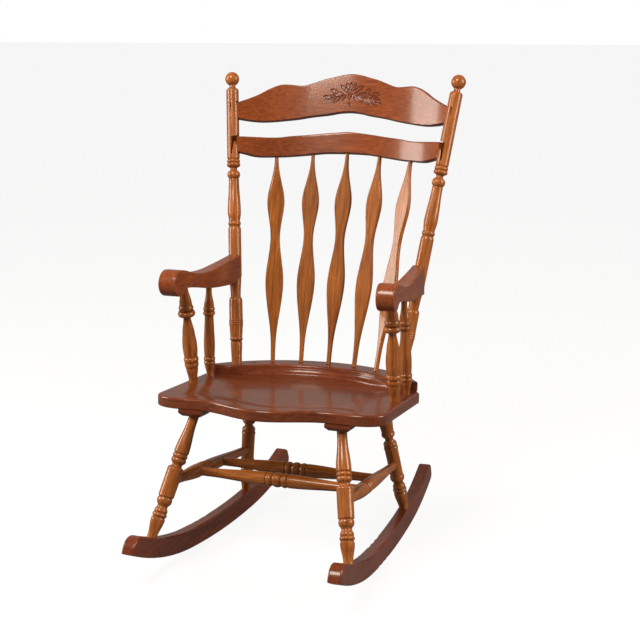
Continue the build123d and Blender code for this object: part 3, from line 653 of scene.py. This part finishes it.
# ---------------------------------------------------------------- pieces that keep their CAD shape
def long_axis(name):
    """The direction a straight CAD piece runs in, from its box and its side of the chair."""
    low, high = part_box(name)
    size = high - low
    side = -1 if name.startswith("left") else 1
    if "cross" in name:
        return (1, 0, 0)
    if "side_stretcher" in name:
        return (0, 1, -0.15)
    if "front_leg" in name:
        return (side * size.x, -size.y, -size.z)
    if "rear_leg" in name:
        return (side * size.x, size.y, -size.z)
    if "back_post" in name or "arrow" in name:
        return (side * POST_SPREAD, POST_LEAN, 1)
    return (0, 0, 1)


def turned_pieces(looks):
    for number, name in enumerate(TURNED):
        wood = lacquered_wood(f"{name}_wood", long_axis(name), looks.turned_stain, 0.42, number * 0.37)
        finish_node(name, wood)


def arrow_spindles(looks):
    for number, name in enumerate(SPINDLES):
        wood = lacquered_wood(f"{name}_wood", (0, POST_LEAN, 1), looks.spindle_stain, 0.42, number * 0.61)
        finish_node(name, wood)


def rockers(looks):
    for number, name in enumerate(ROCKERS):
        wood = lacquered_wood(f"{name}_wood", (0, 1, 0), looks.rocker_stain, 0.36, number * 0.83)
        finish_node(name, wood)


def small_boards(looks):
    wood = lacquered_wood("block_wood", (1, 0, 0), looks.board_stain, 0.3, 1.1)
    for name in SMALL_BOARDS:
        finish_node(name, wood)


def screws(looks):
    steel = zinc_steel()
    for name in SCREWS:
        finish_node(name, steel)


# ---------------------------------------------------------------- floor, lights and camera
CAMERA_LENS = 81.56
CAMERA_ANGLES = (20.506, 13.0, -0.5766)     # round from the front, down and leaning over, in degrees
CAMERA_PLACE = (1.2568, -3.1972, 1.363)


def area_light(name, spot, target, size, power, colour=(1.0, 0.92, 0.81)):
    data = bpy.data.lights.new(name, "AREA")
    data.shape = "RECTANGLE"
    data.size, data.size_y = size
    data.energy = power
    data.color = colour
    light = bpy.data.objects.new(name, data)
    light.location = spot
    light.rotation_mode = "QUATERNION"
    light.rotation_quaternion = (Vector(target) - Vector(spot)).to_track_quat("-Z", "Y")
    bpy.context.scene.collection.objects.link(light)


def pale_floor():
    """Matt white paper, washed so evenly with light that only soft shadows show on it."""
    material = bpy.data.materials.new("matt_white_paper")
    material.use_nodes = True
    tree = material.node_tree
    tree.nodes.clear()
    sight = add_node(tree, "ShaderNodeLightPath")
    wash = add_node(tree, "ShaderNodeMapRange", {"To Min": 0.09, "To Max": 0.9},
                    Value=sight.outputs["Is Camera Ray"])
    glow = add_node(tree, "ShaderNodeEmission", {"Color": (1, 1, 1, 1)}, Strength=wash.outputs["Result"])
    paper = add_node(tree, "ShaderNodeBsdfDiffuse", {"Color": (0.1, 0.1, 0.1, 1)})
    both = add_node(tree, "ShaderNodeAddShader", None, i0=glow.outputs["Emission"], i1=paper.outputs["BSDF"])
    add_node(tree, "ShaderNodeOutputMaterial", None, Surface=both.outputs["Shader"])
    return material


def studio(looks):
    """Pale floor, white backdrop, a darker room in front of the chair and soft banks of light."""
    world = bpy.data.worlds.new("white_studio")
    bpy.context.scene.world = world
    world.use_nodes = True
    tree = world.node_tree
    tree.nodes.clear()
    direction = add_node(tree, "ShaderNodeTexCoord")
    parts = add_node(tree, "ShaderNodeSeparateXYZ", Vector=direction.outputs["Generated"])
    backdrop = add_node(tree, "ShaderNodeMapRange",
                        {"From Min": -0.1, "From Max": 0.55, "To Min": looks.room_light,
                         "To Max": looks.backdrop_light}, Value=parts.outputs["Y"])
    overhead = add_node(tree, "ShaderNodeMapRange",
                        {"From Min": -0.5, "From Max": 0.3, "To Min": 0.35, "To Max": 1.0},
                        Value=parts.outputs["Z"])
    brightness = add_node(tree, "ShaderNodeMath", {"operation": "MULTIPLY"},
                          i0=backdrop.outputs["Result"], i1=overhead.outputs["Result"])
    room = add_node(tree, "ShaderNodeBackground", {"Color": (1.0, 0.97, 0.92, 1)},
                    Strength=brightness.outputs["Value"])
    paper = add_node(tree, "ShaderNodeBackground", {"Color": (1, 1, 1, 1), "Strength": 1.0})
    sight = add_node(tree, "ShaderNodeLightPath")
    both = add_node(tree, "ShaderNodeMixShader", None, i0=sight.outputs["Is Camera Ray"],
                    i1=room.outputs["Background"], i2=paper.outputs["Background"])
    add_node(tree, "ShaderNodeOutputWorld", None, Surface=both.outputs["Shader"])
    clear_selection()
    bpy.ops.mesh.primitive_plane_add(size=60, location=(0, 0, 0))
    floor = bpy.context.object
    floor.name = "studio_floor"
    floor.data.materials.append(pale_floor())
    middle = (0, 0.05, 0.6)
    area_light("front_bank", (-0.5, -2.5, 3.5), middle, (1.5, 1.5), looks.front_light)
    area_light("left_bank", (-3.1, -0.9, 1.7), middle, (1.0, 2.0), looks.left_light)
    area_light("right_bank", (2.9, 0.2, 1.7), middle, (1.0, 2.0), looks.right_light)

    data = bpy.data.cameras.new("camera")
    data.lens = CAMERA_LENS
    camera = bpy.data.objects.new("camera", data)
    bpy.context.scene.collection.objects.link(camera)
    around, height, roll = (math.radians(angle) for angle in CAMERA_ANGLES)
    level = math.cos(height)
    back = Vector((math.sin(around) * level, -math.cos(around) * level, math.sin(height)))
    right = Vector((math.cos(around), math.sin(around), 0))
    up = back.cross(right)
    across = right * math.cos(roll) + up * math.sin(roll)
    upward = up * math.cos(roll) - right * math.sin(roll)
    pose = Matrix((across, upward, back)).transposed().to_4x4()
    pose.translation = CAMERA_PLACE
    camera.matrix_world = pose
    bpy.context.scene.camera = camera
    bpy.context.scene.view_settings.view_transform = "Standard"


# ---------------------------------------------------------------- add-on
def stain(name, description, default):
    return bpy.props.StringProperty(name=name, description=description, default=default)


def strength(name, description, default, unit="POWER"):
    return bpy.props.FloatProperty(name=name, description=description, default=default, min=0, unit=unit)


class RockingChairLooks(bpy.types.PropertyGroup):
    """Finishes and lights a user may change."""
    turned_stain: stain("Turned stain", "sRGB hex of the posts, legs and stretchers", "#9a5826")
    spindle_stain: stain("Spindle stain", "sRGB hex of the arrow spindles", "#985824")
    crest_stain: stain("Back board stain", "sRGB hex of the two bowed boards", "#83401a")
    arm_stain: stain("Arm stain", "sRGB hex of the arms", "#82411f")
    board_stain: stain("Ledge stain", "sRGB hex of the ledge and leg blocks", "#70341a")
    seat_stain: stain("Seat stain", "sRGB hex of the seat", "#6a341b")
    rocker_stain: stain("Rocker stain", "sRGB hex of the rockers", "#6c3014")
    room_light: strength("Room light", "Strength of the room in front of the chair", 0.12, "NONE")
    backdrop_light: strength("Backdrop light", "Strength of the white backdrop", 0.38, "NONE")
    front_light: strength("Front light", "Watts of the high front bank", 150)
    left_light: strength("Left light", "Watts of the left bank", 85)
    right_light: strength("Right light", "Watts of the right bank", 75)


class _Step:
    """Shared by the operators: each builds its pieces from the scene's settings."""
    bl_options = {"REGISTER", "UNDO"}

    def execute(self, context):
        self.build(context.scene.rocking_chair)
        return {"FINISHED"}


class ROCKINGCHAIR_OT_studio(_Step, bpy.types.Operator):
    """Add the pale floor, the backdrop, the soft lights and the camera"""
    bl_idname = "rocking_chair.studio"
    bl_label = "Studio"
    build = staticmethod(studio)


class ROCKINGCHAIR_OT_seat(_Step, bpy.types.Operator):
    """Build the scooped seat with its serpentine front"""
    bl_idname = "rocking_chair.seat"
    bl_label = "Seat"
    build = staticmethod(seat_board)


class ROCKINGCHAIR_OT_ledge(_Step, bpy.types.Operator):
    """Build the moulded ledge around the back of the seat"""
    bl_idname = "rocking_chair.ledge"
    bl_label = "Seat ledge"
    build = staticmethod(ledge_rail)


class ROCKINGCHAIR_OT_crest(_Step, bpy.types.Operator):
    """Build the bowed crest board with its carved leaf spray"""
    bl_idname = "rocking_chair.crest"
    bl_label = "Crest board"
    build = staticmethod(crest_board)


class ROCKINGCHAIR_OT_lower_board(_Step, bpy.types.Operator):
    """Build the bowed board that holds the spindle tops"""
    bl_idname = "rocking_chair.lower_board"
    bl_label = "Lower back board"
    build = staticmethod(lower_board)


class ROCKINGCHAIR_OT_arms(_Step, bpy.types.Operator):
    """Build the two arms with their rolled fronts"""
    bl_idname = "rocking_chair.arms"
    bl_label = "Arms"
    build = staticmethod(arm_pair)


class ROCKINGCHAIR_OT_turned(_Step, bpy.types.Operator):
    """Finish the turned posts, legs and stretchers"""
    bl_idname = "rocking_chair.turned"
    bl_label = "Turned pieces"
    build = staticmethod(turned_pieces)


class ROCKINGCHAIR_OT_spindles(_Step, bpy.types.Operator):
    """Finish the arrow spindles"""
    bl_idname = "rocking_chair.spindles"
    bl_label = "Arrow spindles"
    build = staticmethod(arrow_spindles)


class ROCKINGCHAIR_OT_rockers(_Step, bpy.types.Operator):
    """Finish the rockers"""
    bl_idname = "rocking_chair.rockers"
    bl_label = "Rockers"
    build = staticmethod(rockers)


class ROCKINGCHAIR_OT_blocks(_Step, bpy.types.Operator):
    """Finish the leg blocks and the plugs under the rockers"""
    bl_idname = "rocking_chair.blocks"
    bl_label = "Blocks and plugs"
    build = staticmethod(small_boards)


class ROCKINGCHAIR_OT_screws(_Step, bpy.types.Operator):
    """Finish the wood screws"""
    bl_idname = "rocking_chair.screws"
    bl_label = "Screws"
    build = staticmethod(screws)


STEPS = [
    ROCKINGCHAIR_OT_studio, ROCKINGCHAIR_OT_seat, ROCKINGCHAIR_OT_ledge, ROCKINGCHAIR_OT_crest,
    ROCKINGCHAIR_OT_lower_board, ROCKINGCHAIR_OT_arms, ROCKINGCHAIR_OT_turned, ROCKINGCHAIR_OT_spindles,
    ROCKINGCHAIR_OT_rockers, ROCKINGCHAIR_OT_blocks, ROCKINGCHAIR_OT_screws,
]


class ROCKINGCHAIR_PT_panel(bpy.types.Panel):
    """Lists the chair's settings and pieces"""
    bl_idname = "ROCKINGCHAIR_PT_panel"
    bl_label = "Rocking chair"
    bl_space_type = "VIEW_3D"
    bl_region_type = "UI"
    bl_category = "Rocking chair"

    def draw(self, context):
        looks = context.scene.rocking_chair
        for name in looks.__annotations__:
            self.layout.prop(looks, name)
        for step in STEPS:
            self.layout.operator(step.bl_idname)


def register():
    for kind in (RockingChairLooks, *STEPS, ROCKINGCHAIR_PT_panel):
        bpy.utils.register_class(kind)
    bpy.types.Scene.rocking_chair = bpy.props.PointerProperty(type=RockingChairLooks)


def unregister():
    del bpy.types.Scene.rocking_chair
    for kind in reversed((RockingChairLooks, *STEPS, ROCKINGCHAIR_PT_panel)):
        bpy.utils.unregister_class(kind)


def main():
    register()
    for step in STEPS:
        group, name = step.bl_idname.split(".")
        getattr(getattr(bpy.ops, group), name)()


if __name__ == "__main__":
    main()
